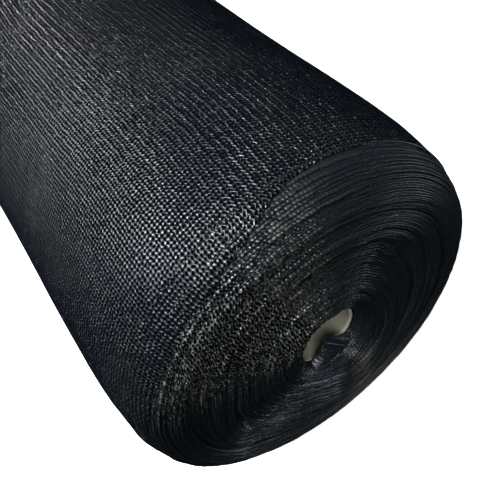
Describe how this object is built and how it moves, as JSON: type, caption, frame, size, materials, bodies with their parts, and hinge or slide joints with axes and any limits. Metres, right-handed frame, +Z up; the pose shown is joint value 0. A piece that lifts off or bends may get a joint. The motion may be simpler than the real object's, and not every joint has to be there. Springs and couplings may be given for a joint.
{
  "type": "roll of shade netting",
  "caption": "Round roll of black knitted shade netting wound on a cardboard tube, with loose telescoped turns at its end.",
  "frame": {"origin": "on the floor under the middle of the roll, at the flat spot that it rests on", "axes": "+X along the roll towards the end that the picture shows, +Z up, +Y to the roll's far side in the picture"},
  "size_m": [1.0124, 0.2998, 0.2958],
  "materials": {
    "shade_netting": "knitted black polyethylene tape, slightly glossy, 3 mm stitches",
    "tube_board": "matte spiral-wound grey-beige board"
  },
  "bodies": {
    "root": {"netting_roll": "shade_netting", "core_tube": "tube_board"}
  },
  "joints": []
}
